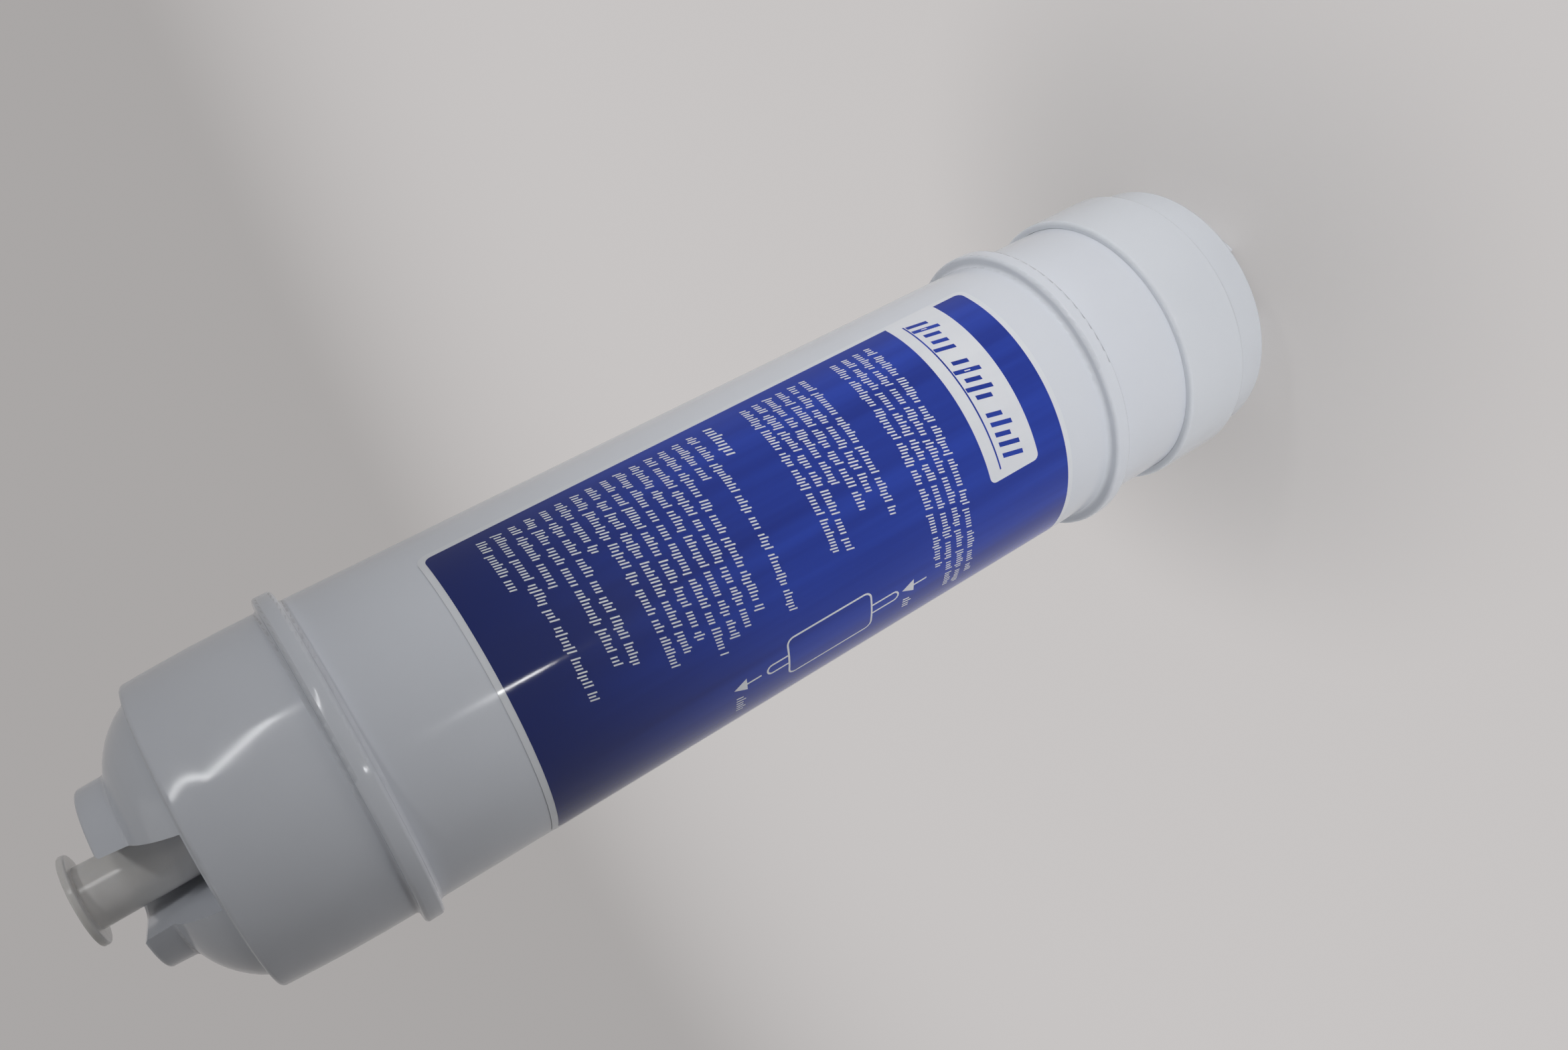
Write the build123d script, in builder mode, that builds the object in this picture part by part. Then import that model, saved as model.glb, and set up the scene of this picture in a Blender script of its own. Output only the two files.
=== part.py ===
# Inline sediment filter cartridge: a welded polypropylene housing with a melt-blown element inside,
# standing on its inlet end, with a transit plug in the outlet port at the top.
import os
from math import degrees, hypot, radians, sqrt, tan

from build123d import *

os.makedirs("parts", exist_ok=True)

# Driving dimensions, in millimetres and degrees

# Housing tube
body_radius = 30.0
wall = 2.5
rim_to_rim = 232.0
outlet_draw = 1.1
rim_edge = 0.9
rib_height = 2.4
rib_width = 3.7
rib_edge = 0.8
rib_root = 0.8
outlet_rib_setback = 24.6
inlet_rib_setback = 44.0

# Domed ends: dome, guard ring and the recess that an elbow fitting drops into
rim_ledge = 2.4
dome_rise = 8.3
dome_arc_radius = 18.0
dome_blend = 0.8
guard_radius = 17.0
guard_height = 13.3
guard_draft = 0.3
guard_edge = 0.7
recess_half_width = 6.8
recess_draft = 3.6
recess_floor = 0.5
recess_chamfer = 0.5
chamfer_angle = 45.0

# Ports
port_radius = 5.6
port_depth = 16.0
port_chamfer = 0.6
port_web = 2.0
flow_radius = 3.5
boss_wall = 2.4

# Inlet cap, welded over the end of the tube
collar_wall = 1.55
collar_height = 16.4
collar_edge = 0.8
collar_lip = 0.8
neck_height = 8.6
neck_rim_inset = 0.4
neck_top_inset = 0.1
tongue_height = 5.0
tongue_wall = 2.2
weld_gap = 0.05
tongue_gap = 0.15

# Label film
label_height = 123.2
label_arc_width = 68.9
label_setback = 50.4
label_turn = 1.9
label_corner = 2.2
label_thickness = 0.15
label_gap = 0.02

# Filter element and its bonded end caps
flow_gap = 2.4
element_bore_radius = 8.0
end_plate = 2.5
skirt_wall = 1.5
skirt_height = 6.0
spigot_height = 6.0
spigot_wall = 2.0
bond_gap = 0.1
fin_count = 4
fin_height = 6.0
fin_thickness = 1.8
fin_gap = 0.3
axial_play = 0.3

# Nipple and its seal
nipple_radius = 7.8
nipple_length = 11.0
nipple_gap = 0.2
nipple_bore_radius = 4.5
nipple_chamfer = 0.6
socket_depth = 12.0
seal_section = 1.6
seal_setback = 4.0
seal_gap = 0.02
groove_play = 0.25

# Transit plug
plug_depth = 10.4
plug_reach = 20.4
plug_taper = 0.7
plug_gap = 0.08
plug_wall = 1.1
plug_flange_radius = 8.3
plug_flange_thickness = 1.3
plug_flange_edge = 0.4
plug_end_edge = 0.8

# Half-width of the band in which a selector looks for corners at a known place
pick = 0.01

# Radii and places along the axis that follow from the dimensions above

inlet_rim_z = guard_height
outlet_rim_z = inlet_rim_z + rim_to_rim
tube_bore_radius = body_radius - wall
outlet_rim_radius = body_radius - outlet_draw
dome_base_radius = outlet_rim_radius - rim_ledge
rib_radius = body_radius + rib_height
collar_bore_radius = body_radius + weld_gap
collar_radius = collar_bore_radius + collar_wall
neck_rim_radius = body_radius - neck_rim_inset
neck_top_radius = body_radius - neck_top_inset
outlet_rib_top_z = outlet_rim_z - outlet_rib_setback
outlet_rib_base_z = outlet_rib_top_z - rib_width
inlet_rib_base_z = inlet_rim_z + inlet_rib_setback
inlet_rib_top_z = inlet_rib_base_z + rib_width
collar_base_z = inlet_rim_z + neck_height
collar_top_z = collar_base_z + collar_height
tube_seat_z = collar_base_z + wall
inlet_boss_length = port_depth + port_web - recess_floor
outlet_boss_length = inlet_boss_length + socket_depth
inlet_boss_z = inlet_rim_z + inlet_boss_length
outlet_boss_z = outlet_rim_z - outlet_boss_length
socket_radius = nipple_radius + nipple_gap
blind_plate_z = inlet_boss_z + fin_height
element_base_z = blind_plate_z + end_plate
outlet_plate_top_z = outlet_boss_z - axial_play
element_top_z = outlet_plate_top_z - end_plate
skirt_outer_radius = tube_bore_radius - flow_gap
skirt_inner_radius = skirt_outer_radius - skirt_wall
element_radius = skirt_inner_radius - bond_gap
spigot_radius = element_bore_radius - bond_gap

# Centre of the dome's arc, in the plane of radius and height above the rim
chord_radius = guard_radius - dome_base_radius
chord_length = hypot(chord_radius, dome_rise)
arc_depth = sqrt(dome_arc_radius**2 - chord_length**2 / 4)
dome_centre_radius = (dome_base_radius + guard_radius) / 2 - arc_depth * dome_rise / chord_length
dome_centre_height = dome_rise / 2 + arc_depth * chord_radius / chord_length


def end_plane(rim_z, way, height):
    """Plane across the axis at a height beyond a rim, facing out of that end, with its Y along +Y."""
    return Plane(origin=(0, 0, rim_z + way * height), x_dir=(way, 0, 0), z_dir=(0, 0, way))


def section_plane(rim_z, way):
    """Plane through the axis whose X is the radius and whose Y is the height beyond a rim."""
    return Plane(origin=(0, 0, rim_z), x_dir=(1, 0, 0), z_dir=(0, -way, 0))


def recess_block(rim_z, way, grow):
    """The U-shaped fitting recess, or with grow the block that leaves its walls, open towards -Y."""
    width = recess_half_width + grow
    floor = recess_floor - grow
    mouth = guard_height - recess_chamfer
    mouth_width = width + tan(radians(recess_draft)) * (mouth - floor)
    length = dome_base_radius + wall
    stages = (
        (floor, width, guard_height + wall - floor, recess_draft),
        (mouth, mouth_width, 2 * recess_chamfer, chamfer_angle),
    )
    with BuildPart() as block:
        for height, half_width, rise, draft in stages:
            with BuildSketch(end_plane(rim_z, way, height)):
                Circle(half_width)
                with Locations((0, -length / 2)):
                    Rectangle(2 * half_width, length)
            extrude(amount=rise, taper=-draft)
    return block.part


def end_hollow(rim_z, way):
    """The space under the dome and inside the guard ring, without the walls of the recess."""
    inner_arc = dome_arc_radius - wall
    inner_guard = guard_radius - wall
    base_radius = dome_centre_radius + sqrt(inner_arc**2 - (wall + dome_centre_height) ** 2)
    top_height = dome_centre_height + sqrt(inner_arc**2 - (inner_guard - dome_centre_radius) ** 2)
    walls = recess_block(rim_z, way, wall)
    with BuildPart() as hollow:
        with BuildSketch(section_plane(rim_z, way)):
            with BuildLine():
                RadiusArc((base_radius, -wall), (inner_guard, top_height), -inner_arc)
                Polyline(
                    (inner_guard, top_height),
                    (inner_guard, guard_height - wall),
                    (0, guard_height - wall),
                    (0, -wall),
                    (base_radius, -wall),
                )
            make_face()
        revolve(axis=Axis.Z)
        add(walls, mode=Mode.SUBTRACT)
    return hollow.part


def end_shell(rim_z, way, root_radius, boss_radius, boss_length):
    """Dome, guard ring, fitting recess and port boss, drawn outwards from a rim plane."""
    hollow = end_hollow(rim_z, way)
    recess = recess_block(rim_z, way, 0)
    with BuildPart() as shell:
        with BuildSketch(section_plane(rim_z, way)) as section:
            with BuildLine():
                RadiusArc((dome_base_radius, 0), (guard_radius, dome_rise), -dome_arc_radius)
                Polyline(
                    (guard_radius, dome_rise),
                    (guard_radius - guard_draft, guard_height),
                    (0, guard_height),
                    (0, -wall),
                    (root_radius, -wall),
                    (root_radius, 0),
                    (dome_base_radius, 0),
                )
            make_face()
            guard_corner = section.vertices().group_by(Axis.Y)[-1].sort_by(Axis.X)[-1]
            fillet(guard_corner, guard_edge)
            fillet(section.vertices().sort_by_distance((guard_radius, dome_rise))[0], dome_blend)
            fillet(section.vertices().sort_by_distance((dome_base_radius, 0))[0], dome_blend)
        revolve(axis=Axis.Z)
        add(hollow, mode=Mode.SUBTRACT)
        with BuildSketch(end_plane(rim_z, way, -boss_length)):
            Circle(boss_radius)
        extrude(amount=boss_length + recess_floor)
        add(recess, mode=Mode.SUBTRACT)
        with BuildSketch(end_plane(rim_z, way, recess_floor - port_depth)):
            Circle(port_radius)
        extrude(amount=port_depth, mode=Mode.SUBTRACT)
        with BuildSketch(end_plane(rim_z, way, -boss_length)):
            Circle(flow_radius)
        extrude(amount=boss_length, mode=Mode.SUBTRACT)
        mouth_z = rim_z + way * recess_floor
        circles = shell.edges().filter_by(GeomType.CIRCLE)
        mouth = circles.filter_by_position(Axis.Z, mouth_z - pick, mouth_z + pick)
        chamfer(mouth.sort_by(SortBy.RADIUS)[0], port_chamfer)
    return shell.part


# Housing: tube with two ribs and the outlet end, moulded as one cup

outlet_boss_radius = socket_radius + boss_wall
outlet_root_radius = outlet_rim_radius - wall / 2
outlet_shell = end_shell(outlet_rim_z, 1, outlet_root_radius, outlet_boss_radius, outlet_boss_length)

with BuildPart() as housing:
    with BuildSketch(Plane.XZ) as tube_section:
        with BuildLine():
            barrel = TangentArc(
                (body_radius, outlet_rib_top_z), (outlet_rim_radius, outlet_rim_z), tangent=(0, 1)
            )
            Polyline(
                barrel @ 1,
                (outlet_rim_radius - wall, outlet_rim_z),
                (tube_bore_radius, outlet_rib_top_z),
                (tube_bore_radius, tube_seat_z),
                (body_radius, tube_seat_z),
                (body_radius, inlet_rib_base_z),
                (rib_radius, inlet_rib_base_z),
                (rib_radius, inlet_rib_top_z),
                (body_radius, inlet_rib_top_z),
                (body_radius, outlet_rib_base_z),
                (rib_radius, outlet_rib_base_z),
                (rib_radius, outlet_rib_top_z),
                barrel @ 0,
            )
        make_face()
        rim_corner = tube_section.vertices().group_by(Axis.Y)[-1].sort_by(Axis.X)[-1]
        fillet(rim_corner, rim_edge)
        fillet(tube_section.vertices().group_by(Axis.X)[-1], rib_edge)
        tube_corners = tube_section.vertices().filter_by_position(
            Axis.X, body_radius - pick, body_radius + pick
        )
        fillet(tube_corners.sort_by(Axis.Y)[1:], rib_root)
    revolve(axis=Axis.Z)
    add(outlet_shell)
    with BuildSketch(Plane.XY.offset(outlet_boss_z)):
        Circle(socket_radius)
    extrude(amount=socket_depth, mode=Mode.SUBTRACT)

housing.part.label = "housing"
export_step(housing.part, "parts/housing.step")

# Inlet cap: collar over the tube, tongue inside it, neck and the inlet end

inlet_boss_radius = port_radius + boss_wall
inlet_root_radius = neck_rim_radius - wall / 2
inlet_shell = end_shell(inlet_rim_z, -1, inlet_root_radius, inlet_boss_radius, inlet_boss_length)
tongue_radius = tube_bore_radius - tongue_gap

with BuildPart() as inlet_cap:
    with BuildSketch(Plane.XZ) as cap_section:
        with BuildLine():
            Polyline(
                (neck_rim_radius - wall, inlet_rim_z),
                (neck_rim_radius, inlet_rim_z),
                (neck_top_radius, collar_base_z),
                (collar_radius, collar_base_z),
                (collar_radius, collar_top_z),
                (collar_bore_radius, collar_top_z),
                (collar_bore_radius, tube_seat_z),
                (tongue_radius, tube_seat_z),
                (tongue_radius, tube_seat_z + tongue_height),
                (tongue_radius - tongue_wall, tube_seat_z + tongue_height),
                (tongue_radius - tongue_wall, collar_base_z),
                (neck_top_radius - wall, collar_base_z),
                close=True,
            )
        make_face()
        neck_corner = cap_section.vertices().group_by(Axis.Y)[0].sort_by(Axis.X)[-1]
        fillet(neck_corner, rim_edge)
        fillet(cap_section.vertices().group_by(Axis.X)[-1].sort_by(Axis.Y)[0], collar_edge)
        fillet(cap_section.vertices().group_by(Axis.Y)[-1].sort_by(Axis.X)[-1], collar_lip)
    revolve(axis=Axis.Z)
    add(inlet_shell)

inlet_cap.part.label = "inlet_cap"
export_step(inlet_cap.part, "parts/inlet_cap.step")

# Label film wrapped round the front of the tube

label_radius = body_radius + label_gap
label_angle = degrees(label_arc_width / label_radius)
label_middle = -90 - label_turn
label_base_z = outlet_rim_z - label_setback - label_height

with BuildPart() as label:
    with BuildSketch(Plane.XY.offset(label_base_z)):
        with BuildLine():
            start = label_middle - label_angle / 2
            inner = CenterArc((0, 0), label_radius, start, label_angle)
            outer = CenterArc((0, 0), label_radius + label_thickness, start, label_angle)
            Line(inner @ 0, outer @ 0)
            Line(inner @ 1, outer @ 1)
        make_face()
    extrude(amount=label_height)
    corners = label.edges().filter_by(GeomType.LINE).filter_by(Axis.Z, reverse=True)
    fillet(corners, label_corner)

label.part.label = "label"
export_step(label.part, "parts/label.step")

# Melt-blown filter element

with BuildPart() as filter_element:
    with BuildSketch(Plane.XY.offset(element_base_z)):
        Circle(element_radius)
        Circle(element_bore_radius, mode=Mode.SUBTRACT)
    extrude(amount=element_top_z - element_base_z)

filter_element.part.label = "filter_element"
export_step(filter_element.part, "parts/filter_element.step")

# Outlet end cap of the element: plate, skirt, spigot in the bore and the grooved nipple

groove_radius = socket_radius - seal_section
groove_half_width = seal_section / 2 + groove_play
seal_z = outlet_plate_top_z + nipple_length - seal_setback
skirt_base_z = element_top_z - skirt_height
spigot_base_z = element_top_z - spigot_height
nipple_top_z = outlet_plate_top_z + nipple_length

with BuildPart() as element_outlet_cap:
    with BuildSketch(Plane.XZ) as outlet_cap_section:
        with BuildLine():
            Polyline(
                (nipple_bore_radius, nipple_top_z),
                (nipple_radius, nipple_top_z),
                (nipple_radius, seal_z + groove_half_width),
                (groove_radius, seal_z + groove_half_width),
                (groove_radius, seal_z - groove_half_width),
                (nipple_radius, seal_z - groove_half_width),
                (nipple_radius, outlet_plate_top_z),
                (skirt_outer_radius, outlet_plate_top_z),
                (skirt_outer_radius, skirt_base_z),
                (skirt_inner_radius, skirt_base_z),
                (skirt_inner_radius, element_top_z),
                (spigot_radius, element_top_z),
                (spigot_radius, spigot_base_z),
                (nipple_bore_radius, spigot_base_z),
                close=True,
            )
        make_face()
        nipple_corner = outlet_cap_section.vertices().group_by(Axis.Y)[-1].sort_by(Axis.X)[-1]
        chamfer(nipple_corner, nipple_chamfer)
    revolve(axis=Axis.Z)

element_outlet_cap.part.label = "element_outlet_cap"
export_step(element_outlet_cap.part, "parts/element_outlet_cap.step")

# O-ring in the nipple's groove

with BuildPart() as nipple_seal:
    with BuildSketch(Plane.XZ):
        with Locations((groove_radius + seal_section / 2, seal_z)):
            Circle(seal_section / 2 - seal_gap)
    revolve(axis=Axis.Z)

nipple_seal.part.label = "nipple_seal"
export_step(nipple_seal.part, "parts/nipple_seal.step")

# Blind end cap of the element: closed plate, skirt, spigot and centring fins that stand on the inlet boss

skirt_top_z = element_base_z + skirt_height
spigot_top_z = element_base_z + spigot_height
fin_outer_radius = tube_bore_radius - fin_gap
fin_inner_radius = flow_radius + bond_gap

with BuildPart() as element_blind_cap:
    with BuildSketch(Plane.XZ):
        with BuildLine():
            Polyline(
                (0, blind_plate_z),
                (skirt_outer_radius, blind_plate_z),
                (skirt_outer_radius, skirt_top_z),
                (skirt_inner_radius, skirt_top_z),
                (skirt_inner_radius, element_base_z),
                (spigot_radius, element_base_z),
                (spigot_radius, spigot_top_z),
                (spigot_radius - spigot_wall, spigot_top_z),
                (spigot_radius - spigot_wall, element_base_z),
                (0, element_base_z),
                close=True,
            )
        make_face()
    revolve(axis=Axis.Z)
    with BuildSketch(Plane.XY.offset(inlet_boss_z)):
        with PolarLocations((fin_inner_radius + fin_outer_radius) / 2, fin_count):
            Rectangle(fin_outer_radius - fin_inner_radius, fin_thickness)
    extrude(amount=fin_height + end_plate)

element_blind_cap.part.label = "element_blind_cap"
export_step(element_blind_cap.part, "parts/element_blind_cap.step")

# Transit plug: hollow, tapered and flanged, open at the flange

port_mouth_z = outlet_rim_z + recess_floor
plug_base_z = port_mouth_z - plug_depth
plug_top_z = outlet_rim_z + plug_reach
plug_under_flange_z = plug_top_z - plug_flange_thickness
plug_mouth_radius = port_radius - plug_gap
taper_slope = tan(radians(plug_taper))


def plug_radius(z):
    """Outer radius of the plug's tapered stem."""
    return plug_mouth_radius + taper_slope * (z - port_mouth_z)


with BuildPart() as transit_plug:
    with BuildSketch(Plane.XZ) as plug_section:
        with BuildLine():
            Polyline(
                (0, plug_base_z),
                (plug_radius(plug_base_z), plug_base_z),
                (plug_radius(plug_under_flange_z), plug_under_flange_z),
                (plug_flange_radius, plug_under_flange_z),
                (plug_flange_radius, plug_top_z),
                (plug_radius(plug_top_z) - plug_wall, plug_top_z),
                (plug_radius(plug_base_z) - plug_wall, plug_base_z + plug_wall),
                (0, plug_base_z + plug_wall),
                close=True,
            )
        make_face()
        fillet(plug_section.vertices().group_by(Axis.X)[-1], plug_flange_edge)
        tip_corner = plug_section.vertices().group_by(Axis.Y)[0].sort_by(Axis.X)[-1]
        fillet(tip_corner, plug_end_edge)
    revolve(axis=Axis.Z)

transit_plug.part.label = "transit_plug"
export_step(transit_plug.part, "parts/transit_plug.step")
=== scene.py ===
"""Looks of an inline sediment filter cartridge: white housing, blue wrap label, natural transit plug."""

import math
import random

import bmesh
import bpy
from mathutils import Euler, Matrix, Vector


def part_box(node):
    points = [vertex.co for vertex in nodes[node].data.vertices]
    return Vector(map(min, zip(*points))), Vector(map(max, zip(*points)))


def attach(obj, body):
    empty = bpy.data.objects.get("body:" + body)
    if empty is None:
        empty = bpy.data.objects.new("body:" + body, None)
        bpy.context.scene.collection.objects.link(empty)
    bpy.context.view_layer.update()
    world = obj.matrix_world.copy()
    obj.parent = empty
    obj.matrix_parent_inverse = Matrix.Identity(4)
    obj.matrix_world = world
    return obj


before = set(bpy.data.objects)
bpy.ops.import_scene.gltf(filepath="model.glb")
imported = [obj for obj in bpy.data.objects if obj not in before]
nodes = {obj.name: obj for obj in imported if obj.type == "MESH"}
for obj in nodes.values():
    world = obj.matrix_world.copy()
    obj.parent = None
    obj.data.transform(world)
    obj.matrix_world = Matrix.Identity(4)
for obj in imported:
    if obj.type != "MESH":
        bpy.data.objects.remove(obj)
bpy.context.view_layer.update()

MM = 0.001

# Places read from the frame

GUARD_HEIGHT = 13.3 * MM
RIB_SETBACK = 26.45 * MM
label_low, label_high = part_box("label")
label_radius = max(math.hypot(v.co.x, v.co.y) for v in nodes["label"].data.vertices)
label_start_angle = -math.acos(label_high.x / label_radius)
outlet_rim_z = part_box("housing")[1].z - GUARD_HEIGHT
outlet_rib_z = outlet_rim_z - RIB_SETBACK

# Camera beside the outlet end, looking down along the cartridge and rolled so that the axis runs aslant

IMAGE_WIDTH_PX = 2342
FOCAL_PX = 1956.6
SENSOR_WIDTH = 36.0
CAMERA_TURN = math.radians(11.0)
CAMERA_REACH = 248.88 * MM
CAMERA_ABOVE_LABEL = 30.41 * MM
CAMERA_HEADING = math.radians(11.286)
CAMERA_PITCH = math.radians(-22.150)
CAMERA_ROLL = math.radians(-118.761)


def around(turn, reach, height):
    """A place at a distance from the axis, turned from the camera's side towards -X."""
    angle = CAMERA_TURN - turn
    return Vector((math.sin(angle) * reach, -math.cos(angle) * reach, height))


def make_camera():
    data = bpy.data.cameras.new("camera")
    data.sensor_width = SENSOR_WIDTH
    data.lens = FOCAL_PX / IMAGE_WIDTH_PX * SENSOR_WIDTH
    data.clip_start = 0.01
    data.clip_end = 100.0
    camera = bpy.data.objects.new("camera", data)
    bpy.context.scene.collection.objects.link(camera)
    place = around(0, CAMERA_REACH, label_high.z + CAMERA_ABOVE_LABEL)
    level = Euler((math.pi / 2 + CAMERA_PITCH, 0, CAMERA_HEADING)).to_matrix().to_4x4()
    camera.matrix_world = Matrix.Translation(place) @ level @ Matrix.Rotation(CAMERA_ROLL, 4, "Z")
    bpy.context.scene.camera = camera


# Node helper for the materials


class Shader:
    """A material whose nodes are added one by one, with object coordinates in metres at hand."""

    def __init__(self, name):
        self.material = bpy.data.materials.new(name)
        self.material.use_nodes = True
        self.nodes = self.material.node_tree.nodes
        self.links = self.material.node_tree.links
        self.bsdf = self.nodes["Principled BSDF"]
        self.output = self.nodes["Material Output"]
        self.place = self.add("ShaderNodeTexCoord").outputs["Object"]

    def add(self, kind, **settings):
        node = self.nodes.new(kind)
        for key, value in settings.items():
            setattr(node, key, value)
        return node

    def link(self, source, target):
        self.links.new(source, target)

    def set(self, **values):
        for key, value in values.items():
            self.bsdf.inputs[key.replace("_", " ")].default_value = value

    def noise(self, scale, detail=2.0, stretch=None):
        node = self.add("ShaderNodeTexNoise")
        node.inputs["Scale"].default_value = scale
        node.inputs["Detail"].default_value = detail
        place = self.place
        if stretch:
            mapping = self.add("ShaderNodeMapping")
            mapping.inputs["Scale"].default_value = stretch
            self.link(place, mapping.inputs["Vector"])
            place = mapping.outputs["Vector"]
        self.link(place, node.inputs["Vector"])
        return node.outputs["Fac"]

    def cells(self, scale):
        node = self.add("ShaderNodeTexVoronoi")
        node.inputs["Scale"].default_value = scale
        self.link(self.place, node.inputs["Vector"])
        return node.outputs["Distance"]

    def along(self):
        """The place along the cartridge axis."""
        node = self.add("ShaderNodeSeparateXYZ")
        self.link(self.place, node.inputs["Vector"])
        return node.outputs["Z"]

    def span(self, factor, start, end, first, last):
        """Maps a factor smoothly so that start becomes first and end becomes last."""
        node = self.add("ShaderNodeMapRange", interpolation_type="SMOOTHSTEP", clamp=True)
        for key, value in zip(("From Min", "From Max", "To Min", "To Max"), (start, end, first, last)):
            node.inputs[key].default_value = value
        self.link(factor, node.inputs["Value"])
        return node.outputs["Result"]

    def math(self, operation, first, second):
        node = self.add("ShaderNodeMath", operation=operation)
        for socket, value in zip(node.inputs, (first, second)):
            if isinstance(value, (int, float)):
                socket.default_value = value
            else:
                self.link(value, socket)
        return node.outputs["Value"]

    def mix(self, factor, first, second):
        node = self.add("ShaderNodeMix", data_type="RGBA")
        self.link(factor, node.inputs["Factor"])
        sockets = [s for s in node.inputs if s.type == "RGBA"]
        for socket, colour in zip(sockets, (first, second)):
            if isinstance(colour, tuple):
                socket.default_value = (*colour, 1.0)
            else:
                self.link(colour, socket)
        return next(s for s in node.outputs if s.type == "RGBA")

    def bump(self, height, distance, below=None):
        node = self.add("ShaderNodeBump")
        node.inputs["Strength"].default_value = 1.0
        node.inputs["Distance"].default_value = distance
        self.link(height, node.inputs["Height"])
        if below is not None:
            self.link(below, node.inputs["Normal"])
        return node.outputs["Normal"]

    def swelling(self, middle, reach, rise, below):
        """A shallow ring round the axis that swells to its rise in the middle."""
        place = self.along()
        climb = self.span(place, middle - reach, middle, 0.0, 1.0)
        fall = self.span(place, middle, middle + reach, 1.0, 0.0)
        return self.bump(self.math("MINIMUM", climb, fall), rise, below)

    def finish(self, colour, roughness, normal):
        self.link(colour, self.bsdf.inputs["Base Color"])
        self.link(roughness, self.bsdf.inputs["Roughness"])
        self.link(normal, self.bsdf.inputs["Normal"])
        return self.material


# Materials

HOUSING_WHITE = ((0.735, 0.765, 0.825), (0.715, 0.745, 0.805))
CAP_WHITE = ((0.74, 0.77, 0.82), (0.72, 0.75, 0.80))
INNER_WHITE = ((0.82, 0.82, 0.81), (0.78, 0.78, 0.77))
SPECK_BROWN = (0.20, 0.18, 0.16)
# Each film's pair of colours alternates in long painted reflection streaks along the tube
LABEL_STOCK = ((0.78, 0.805, 0.85), (0.755, 0.78, 0.825))
INK_BLUE = ((0.004, 0.027, 0.29), (0.012, 0.052, 0.44))
DARKER_BLUE_AT_OUTLET = (0.005, 0.018, 0.15)
INK_WHITE = ((0.80, 0.82, 0.86), (0.76, 0.78, 0.83))
PLUG_NATURAL = ((0.89, 0.87, 0.85), (0.84, 0.82, 0.79))
FIBRE_WHITE = ((0.86, 0.86, 0.84), (0.74, 0.74, 0.72))
RUBBER_BLACK = ((0.018, 0.018, 0.019), (0.05, 0.05, 0.05))

# Length over which the blue turns darker towards the outlet edge, and skin swellings as place along the
# axis, reach and rise

DEEPENING = 62 * MM
MOULDING_SWELLINGS = (
    (outlet_rim_z, 6.5 * MM, 0.22 * MM),
    (outlet_rib_z, 1.85 * MM, 0.12 * MM),
)


def moulded_plastic(name, pale, shade, specked=False, swellings=()):
    """Cool white polypropylene: soft gloss, faint flow clouds, shallow sinks and a fine grain."""
    shader = Shader(name)
    shader.set(IOR=1.49)
    clouds = shader.noise(26.0, 3.0)
    colour = shader.mix(shader.span(clouds, 0.35, 0.68, 0.0, 1.0), pale, shade)
    if specked:
        spots = shader.span(shader.cells(95.0), 0.035, 0.06, 1.0, 0.0)
        chosen = shader.span(shader.noise(60.0, 0.0), 0.50, 0.54, 0.0, 0.7)
        colour = shader.mix(shader.math("MULTIPLY", spots, chosen), colour, SPECK_BROWN)
    roughness = shader.span(shader.noise(120.0, 4.0), 0.3, 0.7, 0.11, 0.17)
    skin = shader.bump(shader.noise(34.0, 1.0), 0.35 * MM)
    for middle, reach, rise in swellings:
        skin = shader.swelling(middle, reach, rise, skin)
    grain = shader.bump(shader.noise(1800.0, 2.0), 0.002 * MM, skin)
    return shader.finish(colour, roughness, grain)


def film(name, pale, shade, deep=None):
    """Printed film: high gloss in long shallow ripples, with painted reflection streaks along the tube in
    its colour, in a colour that may turn darker towards the outlet edge.
    """
    shader = Shader(name)
    shader.set(IOR=1.46)
    # Painted reflection: long streaks along the tube between the film's two colours
    painted_reflection_streaks = shader.noise(1.0, 3.0, stretch=(150.0, 150.0, 7.0))
    colour = shader.mix(shader.span(painted_reflection_streaks, 0.3, 0.7, 0.0, 1.0), pale, shade)
    if deep:
        # The colour turns darker towards the outlet edge of the label
        depth = shader.span(shader.along(), label_high.z - DEEPENING, label_high.z, 0.0, 1.0)
        colour = shader.mix(depth, colour, deep)
    roughness = shader.span(shader.noise(90.0, 3.0), 0.3, 0.7, 0.06, 0.11)
    ripples = shader.bump(shader.noise(1.0, 2.0, stretch=(95.0, 95.0, 5.0)), 0.12 * MM)
    orange_peel = shader.bump(shader.noise(420.0, 2.0), 0.006 * MM, ripples)
    return shader.finish(colour, roughness, orange_peel)


def natural_polyethylene(name):
    """Milky translucent plug plastic, a little yellow, with the drag marks of its mould."""
    shader = Shader(name)
    shader.set(IOR=1.51, Subsurface_Weight=0.4)
    shader.set(Subsurface_Radius=(1.0, 0.95, 0.9), Subsurface_Scale=0.002)
    clouds = shader.noise(140.0, 3.0)
    colour = shader.mix(shader.span(clouds, 0.3, 0.7, 0.0, 1.0), *PLUG_NATURAL)
    roughness = shader.span(shader.noise(300.0, 2.0), 0.3, 0.7, 0.12, 0.20)
    drag = shader.bump(shader.noise(1.0, 3.0, stretch=(900.0, 900.0, 40.0)), 0.02 * MM)
    return shader.finish(colour, roughness, drag)


def melt_blown_fibre(name):
    """White melt-blown fibre: matted threads wound round the element."""
    shader = Shader(name)
    shader.set(Sheen_Weight=0.3)
    threads = shader.noise(1.0, 5.0, stretch=(260.0, 260.0, 1500.0))
    colour = shader.mix(shader.span(threads, 0.3, 0.7, 0.0, 1.0), *FIBRE_WHITE)
    roughness = shader.span(threads, 0.3, 0.7, 0.8, 0.95)
    return shader.finish(colour, roughness, shader.bump(threads, 0.3 * MM))


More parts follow.
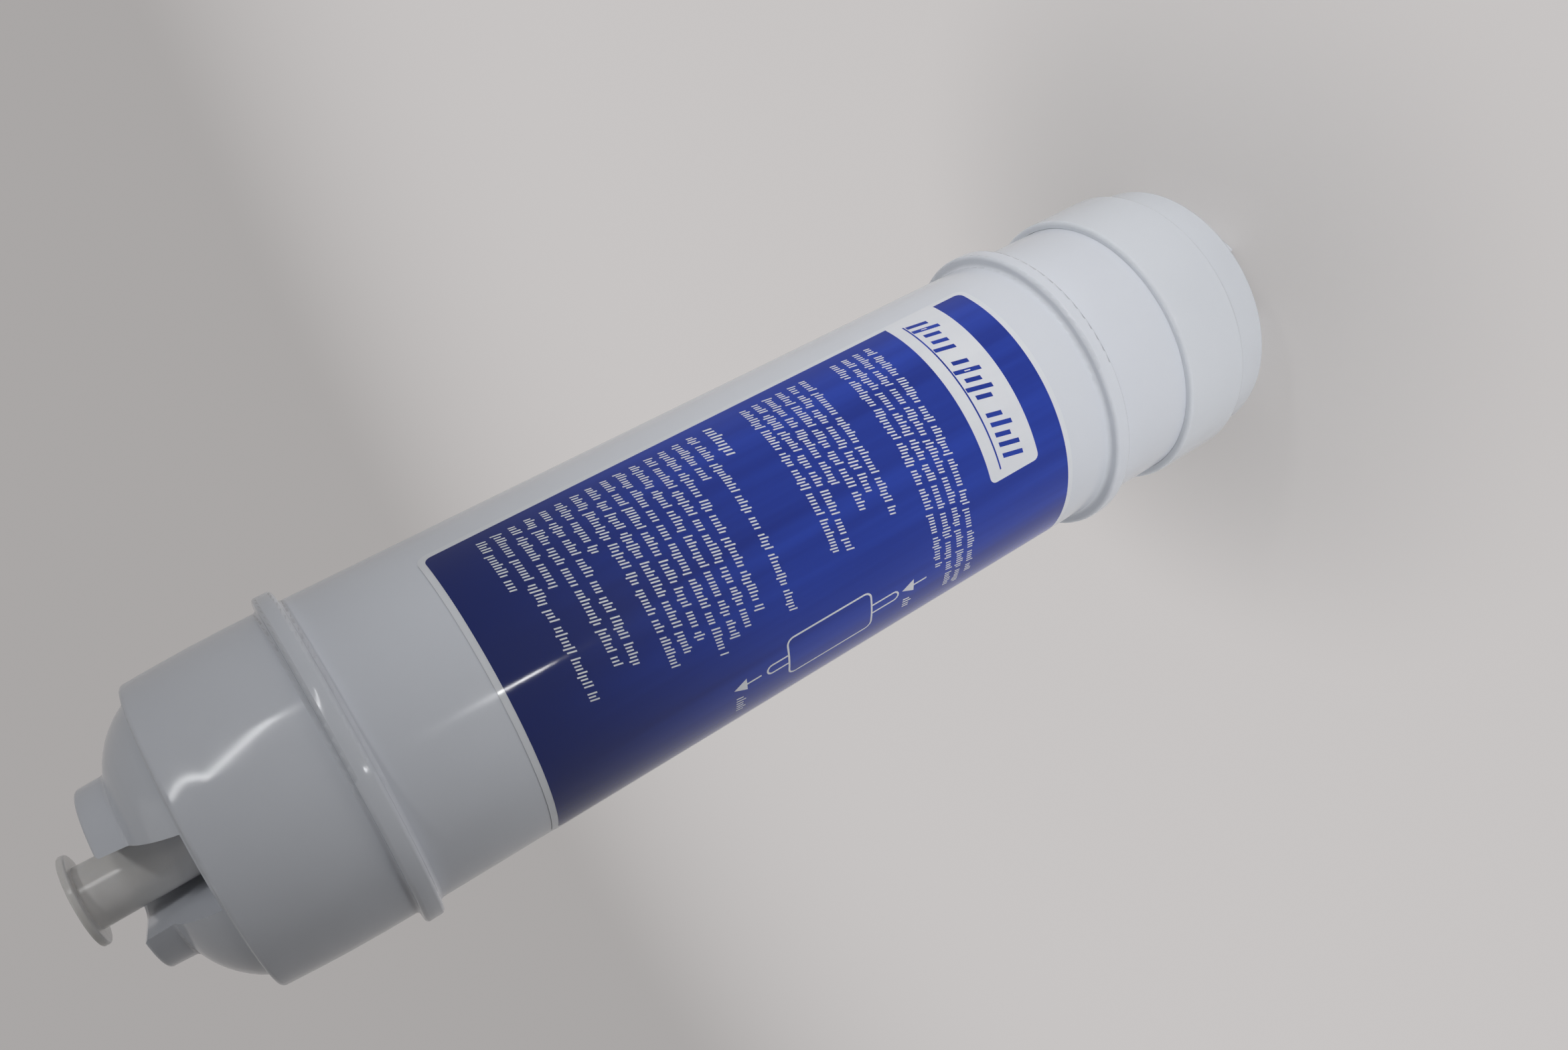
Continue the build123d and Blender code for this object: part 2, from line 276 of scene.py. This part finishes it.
def black_rubber(name):
    """Nitrile rubber with a faint bloom."""
    shader = Shader(name)
    bloom = shader.noise(400.0, 4.0)
    colour = shader.mix(shader.span(bloom, 0.4, 0.8, 0.0, 1.0), *RUBBER_BLACK)
    roughness = shader.span(bloom, 0.3, 0.7, 0.5, 0.65)
    return shader.finish(colour, roughness, shader.bump(bloom, 0.02 * MM))


def dress_nodes():
    housing = moulded_plastic("housing_white", *HOUSING_WHITE, swellings=MOULDING_SWELLINGS)
    cap = moulded_plastic("cap_white", *CAP_WHITE, specked=True)
    inner = moulded_plastic("inner_white", *INNER_WHITE)
    dress = {
        "housing": housing,
        "inlet_cap": cap,
        "label": film("label_stock", *LABEL_STOCK),
        "transit_plug": natural_polyethylene("plug_natural"),
        "filter_element": melt_blown_fibre("element_fibre"),
        "element_outlet_cap": inner,
        "element_blind_cap": inner,
        "nipple_seal": black_rubber("seal_black"),
    }
    for name, material in dress.items():
        nodes[name].material_slots[0].material = material


# Label print, in millimetres across from the label's +X edge and down from its outlet edge

FILM_STEP = 0.015 * MM
FIELD_INSET = 1.25
FIELD_CORNER = 1.4
WRAP_STEP = 1.2
SHARP_ANGLE = math.radians(30)
LABEL_WIDTH = (math.acos(label_low.x / label_radius) + label_start_angle) * label_radius / MM
LABEL_HEIGHT = (label_high.z - label_low.z) / MM


def wrapped(across, down, lift):
    angle = label_start_angle - across * MM / label_radius
    reach = label_radius + lift
    return Vector((math.cos(angle) * reach, math.sin(angle) * reach, label_high.z - down * MM))


def print_layer(name, shapes, layer, material, wide=False):
    """A thin closed layer of flat shapes wrapped round the tube; wide ones are cut into strips first."""
    mesh = bmesh.new()
    for shape in shapes:
        mesh.faces.new([mesh.verts.new((across, down, 0)) for across, down in shape])
    if wide:
        ends = [vertex.co.x for vertex in mesh.verts]
        cut = min(ends) + WRAP_STEP
        while cut < max(ends):
            everything = mesh.verts[:] + mesh.edges[:] + mesh.faces[:]
            bmesh.ops.bisect_plane(mesh, geom=everything, plane_co=(cut, 0, 0), plane_no=(1, 0, 0))
            cut += WRAP_STEP
    raised = bmesh.ops.extrude_face_region(mesh, geom=mesh.faces[:])["geom"]
    tops = {item for item in raised if isinstance(item, bmesh.types.BMVert)}
    for vertex in mesh.verts:
        lift = FILM_STEP * (layer + 1 if vertex in tops else layer + 0.4)
        vertex.co = wrapped(vertex.co.x, vertex.co.y, lift)
    bmesh.ops.recalc_face_normals(mesh, faces=mesh.faces[:])
    for face in mesh.faces:
        face.smooth = True
    for edge in mesh.edges:
        edge.smooth = edge.calc_face_angle(0.0) < SHARP_ANGLE
    data = bpy.data.meshes.new(name)
    mesh.to_mesh(data)
    mesh.free()
    data.materials.append(material)
    piece = bpy.data.objects.new(name, data)
    bpy.context.scene.collection.objects.link(piece)
    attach(piece, "cartridge")
    return piece


def rounded_outline(low, high, corner, steps=6):
    """Corner points of a rounded rectangle from its lowest and highest corner."""
    points = []
    centres = ((high[0] - corner, high[1] - corner), (low[0] + corner, high[1] - corner),
               (low[0] + corner, low[1] + corner), (high[0] - corner, low[1] + corner))
    for quarter, (x, y) in enumerate(centres):
        for step in range(steps + 1):
            angle = (quarter + step / steps) * math.pi / 2
            points.append((x + corner * math.cos(angle), y + corner * math.sin(angle)))
    return points


def stroke(path, width, closed=False):
    """A line of even width along a path, as a run of four-sided shapes."""
    count = len(path)
    sides = []
    for index, (x, y) in enumerate(path):
        before = path[index - 1] if index or closed else path[index]
        after = path[(index + 1) % count] if index < count - 1 or closed else path[index]
        along = Vector((after[0] - before[0], after[1] - before[1])).normalized() * width / 2
        sides.append(((x - along.y, y + along.x), (x + along.y, y - along.x)))
    pairs = list(zip(sides, sides[1:] + sides[:1])) if closed else list(zip(sides, sides[1:]))
    return [(a[0], a[1], b[1], b[0]) for a, b in pairs]


# Ticks: slant, how often one is tall or has a tail, and sizes as shares of the row height or the pen

LEAN = 0.21
TALL_SHARE = 0.32
TAIL_SHARE = 0.12
SHORT_TICK = 0.74
TAIL_DEPTH = 0.22
WORD_GAP = 0.42
TICK_PITCH = (2.0, 2.5)


def tick_row(draw, base, start, end, height, pen_share=0.17, group=(4, 11)):
    """A row of slanted ticks in word-like groups: it stands for a line of print and spells nothing."""
    pen = pen_share * height
    shapes = []
    across = start
    while across < end - pen:
        for _ in range(draw.randint(*group)):
            top = height if draw.random() < TALL_SHARE else SHORT_TICK * height
            low = -TAIL_DEPTH * height if draw.random() < TAIL_SHARE else 0.0
            if across + pen > end:
                break
            corners = ((0, low), (pen, low), (pen, top), (0, top))
            shapes.append([(across + x + LEAN * y, base + y) for x, y in corners])
            across += pen * draw.uniform(*TICK_PITCH)
        across += WORD_GAP * height
    return shapes


# Rows of the three text blocks: place of the first base line, pitch between lines, end of each line

TEXT_START = 3.9
TEXT_HEIGHT = 1.7
TEXT_BLOCKS = (
    (94.8, 2.76, (61.0, 62.7, 61.7, 53.9)),
    (79.0, 2.76, (37.0, 31.1, 33.7, 27.5, 39.2, 38.9)),
    (53.2, 3.08, (44.4, 15.2, 40.5, 42.8, 43.5, 44.8, 39.8, 41.2, 42.8, 17.5, 37.9, 36.6, 19.4, 39.8,
                  16.8)),
)
HEADING_BASE = 56.9
HEADING_HEIGHT = 2.3
HEADING_END = 12.4

# Title field, open to the edge of the label

TITLE_LOW = (0.35, 102.5)
TITLE_HIGH = (42.15, 114.9)
TITLE_CORNER = 1.3
TITLE_BASE = 106.8
TITLE_HEIGHT = 4.8
TITLE_START = 3.7
TITLE_END = 40.6
TITLE_PEN_SHARE = 0.2
TITLE_GROUP = (5, 5)
UNDERLINE_DOWN = 105.4
UNDERLINE_WIDTH = 0.35
UNDERLINE_LEAD = 0.5
UNDERLINE_STEPS = 24

# Flow diagram: an outline of the cartridge with its two pipes and an arrow at each

DIAGRAM_LINE = 0.42
BODY_LOW = (49.7, 51.2)
BODY_HIGH = (59.7, 70.7)
BODY_CORNER = 1.5
PIPE_HALF_WIDTH = 1.1
PIPE_ENDS = (46.3, 77.2)
ARROW_TIPS = (38.8, 78.2)
ARROW_LENGTH = 2.9
ARROW_HALF_WIDTH = 1.6
ARROW_TAIL = 3.2
MARK_START = 57.5
MARK_LENGTHS = (6.6, 3.6)
MARK_HEIGHT = 2.1
MARK_FILL = 0.8
MARK_LIFT = 0.4
BEND_STEPS = 8
DRAW_SEED = 11


def flow_diagram(draw):
    middle = (BODY_LOW[0] + BODY_HIGH[0]) / 2
    shapes = stroke(rounded_outline(BODY_LOW, BODY_HIGH, BODY_CORNER), DIAGRAM_LINE, closed=True)
    for root, end in zip((BODY_LOW[1], BODY_HIGH[1]), PIPE_ENDS):
        way = 1 if end > root else -1
        bend = end - way * PIPE_HALF_WIDTH
        path = [(middle - PIPE_HALF_WIDTH, root)]
        for step in range(BEND_STEPS + 1):
            angle = math.pi * step / BEND_STEPS
            side = middle - PIPE_HALF_WIDTH * math.cos(angle)
            path.append((side, bend + way * PIPE_HALF_WIDTH * math.sin(angle)))
        path.append((middle + PIPE_HALF_WIDTH, root))
        shapes += stroke(path, DIAGRAM_LINE)
    for tip, length in zip(ARROW_TIPS, MARK_LENGTHS):
        tail = tip + ARROW_LENGTH
        shapes.append(((middle, tip), (middle + ARROW_HALF_WIDTH, tail), (middle - ARROW_HALF_WIDTH, tail)))
        shapes += stroke(((middle, tail), (middle, tail + ARROW_TAIL)), DIAGRAM_LINE)
        mark_end = MARK_START + length * MARK_FILL
        shapes += tick_row(draw, tip + MARK_LIFT, MARK_START, mark_end, MARK_HEIGHT)
    return shapes


def print_label():
    draw = random.Random(DRAW_SEED)
    blue = film("ink_blue", *INK_BLUE, deep=DARKER_BLUE_AT_OUTLET)
    white = film("ink_white", *INK_WHITE)
    field_high = (LABEL_WIDTH - FIELD_INSET, LABEL_HEIGHT - FIELD_INSET)
    field = rounded_outline((FIELD_INSET, FIELD_INSET), field_high, FIELD_CORNER)
    print_layer("label_blue_field", [field], 0, blue, wide=True)
    title_field = rounded_outline(TITLE_LOW, TITLE_HIGH, TITLE_CORNER)
    print_layer("label_title_field", [title_field], 1, white, wide=True)
    rows = tick_row(draw, HEADING_BASE, TEXT_START, HEADING_END, HEADING_HEIGHT)
    for first, pitch, ends in TEXT_BLOCKS:
        for line, end in enumerate(ends):
            rows += tick_row(draw, first - line * pitch, TEXT_START, end, TEXT_HEIGHT)
    print_layer("label_text_rows", rows, 1, white)
    print_layer("label_flow_diagram", flow_diagram(draw), 1, white, wide=True)
    title = tick_row(draw, TITLE_BASE, TITLE_START, TITLE_END, TITLE_HEIGHT, TITLE_PEN_SHARE, TITLE_GROUP)
    step = (TITLE_END - TITLE_START) / UNDERLINE_STEPS
    start = TITLE_START - UNDERLINE_LEAD
    path = [(start + step * k, UNDERLINE_DOWN) for k in range(UNDERLINE_STEPS + 1)]
    print_layer("label_title_rows", title + stroke(path, UNDERLINE_WIDTH), 2, blue)


# Stage: pale floor that fades into the backdrop colour, world and soft lights

BACKDROP_NEAR = (0.575, 0.555, 0.55)
BACKDROP_FAR = (0.40, 0.385, 0.38)
FLOOR_COLOUR = (0.72, 0.705, 0.70)
FLOOR_SHADE = 0.98
FLOOR_SIZE = 30.0
SHADOW_REACH = (0.03, 0.11)
SHADOW_VEIL = 0.52
DIMMING_REACH = (0.30, 1.6)
AMBIENT = (1.0, 0.985, 0.96)
AMBIENT_STRENGTH = 0.045


def seen_directly(tree):
    """1 for camera, glossy and transmission rays, 0 for the rays that carry soft light."""
    path = tree.nodes.new("ShaderNodeLightPath")
    total = path.outputs["Is Camera Ray"]
    for other in ("Is Glossy Ray", "Is Transmission Ray"):
        node = tree.nodes.new("ShaderNodeMath")
        node.operation = "MAXIMUM"
        tree.links.new(total, node.inputs[0])
        tree.links.new(path.outputs[other], node.inputs[1])
        total = node.outputs["Value"]
    return total


def make_floor():
    half = FLOOR_SIZE / 2
    data = bpy.data.meshes.new("floor")
    corners = [(-half, -half, 0), (half, -half, 0), (half, half, 0), (-half, half, 0)]
    data.from_pydata(corners, [], [(0, 1, 2, 3)])
    floor = bpy.data.objects.new("floor", data)
    bpy.context.scene.collection.objects.link(floor)
    shader = Shader("floor_pale")
    shader.set(Specular_IOR_Level=0.15)
    tint = shader.noise(3.0, 3.0)
    shade = tuple(part * FLOOR_SHADE for part in FLOOR_COLOUR)
    colour = shader.mix(shader.span(tint, 0.3, 0.7, 0.0, 1.0), FLOOR_COLOUR, shade)
    grain = shader.bump(shader.noise(900.0, 3.0), 0.02 * MM)
    shader.finish(colour, shader.span(tint, 0.3, 0.7, 0.6, 0.7), grain)
    length = shader.add("ShaderNodeVectorMath", operation="LENGTH")
    shader.link(shader.place, length.inputs[0])
    fade = shader.span(length.outputs["Value"], *SHADOW_REACH, SHADOW_VEIL, 1.0)
    dimming = shader.span(length.outputs["Value"], *DIMMING_REACH, 0.0, 1.0)
    glow = shader.add("ShaderNodeEmission")
    shader.link(shader.mix(dimming, BACKDROP_NEAR, BACKDROP_FAR), glow.inputs["Color"])
    blend = shader.add("ShaderNodeMixShader")
    seen = seen_directly(shader.material.node_tree)
    shader.link(shader.math("MULTIPLY", fade, seen), blend.inputs["Fac"])
    shader.link(shader.bsdf.outputs["BSDF"], blend.inputs[1])
    shader.link(glow.outputs["Emission"], blend.inputs[2])
    shader.link(blend.outputs["Shader"], shader.output.inputs["Surface"])
    data.materials.append(shader.material)


def make_world():
    world = bpy.data.worlds.new("studio")
    bpy.context.scene.world = world
    world.use_nodes = True
    tree = world.node_tree
    ambient = tree.nodes["Background"]
    ambient.inputs["Color"].default_value = (*AMBIENT, 1.0)
    ambient.inputs["Strength"].default_value = AMBIENT_STRENGTH
    backdrop = tree.nodes.new("ShaderNodeBackground")
    backdrop.inputs["Color"].default_value = (*BACKDROP_FAR, 1.0)
    blend = tree.nodes.new("ShaderNodeMixShader")
    tree.links.new(seen_directly(tree), blend.inputs["Fac"])
    tree.links.new(ambient.outputs["Background"], blend.inputs[1])
    tree.links.new(backdrop.outputs["Background"], blend.inputs[2])
    tree.links.new(blend.outputs["Shader"], tree.nodes["World Output"].inputs["Surface"])


def area_light(name, turn, reach, height, aim_height, size, power, lean=0.0, mirrored=True, spread=180):
    """A panel turned round the axis from the camera's side, facing the axis at a height."""
    data = bpy.data.lights.new(name, "AREA")
    data.shape = "RECTANGLE"
    data.size, data.size_y = size
    data.energy = power
    data.spread = math.radians(spread)
    light = bpy.data.objects.new(name, data)
    bpy.context.scene.collection.objects.link(light)
    light.location = around(math.radians(turn), reach, height)
    towards = Vector((0, 0, aim_height)) - light.location
    facing = towards.to_track_quat("-Z", "Y").to_matrix() @ Matrix.Rotation(math.radians(lean), 3, "Z")
    light.rotation_euler = facing.to_euler()
    light.visible_camera = False
    light.visible_glossy = mirrored


# Low panels: turn from the camera's side, height and power

LOW_PANELS = ((-82, 0.08, 0.060), (0, 0.125, 0.092), (82, 0.08, 0.078))


def make_lights():
    for turn, height, power in LOW_PANELS:
        area_light("low_panel", turn, 0.26, height, 0.04, (0.26, 0.08), power, mirrored=False, spread=100)
    area_light("floor_bounce", 0, 0.20, 0.012, 0.10, (0.30, 0.05), 0.03, mirrored=False)
    area_light("overhead", 0, 0.10, 0.66, 0.25, (0.40, 0.40), 0.19)
    area_light("key_lamp", -45, 0.80, 0.62, 0.22, (0.09, 0.09), 1.0, mirrored=False)
    area_light("tube_lamp", -37, 0.80, 0.33, 0.23, (0.025, 0.27), 0.4, lean=57)
    area_light("small_lamp", 11.6, 0.80, 0.073, 0.19, (0.022, 0.055), 0.12)
    area_light("back_panel", 180, 0.90, 0.25, 0.12, (0.80, 0.60), 3.2, mirrored=False)


make_camera()
dress_nodes()
print_label()
make_floor()
make_world()
make_lights()
bpy.context.scene.view_settings.view_transform = "Standard"
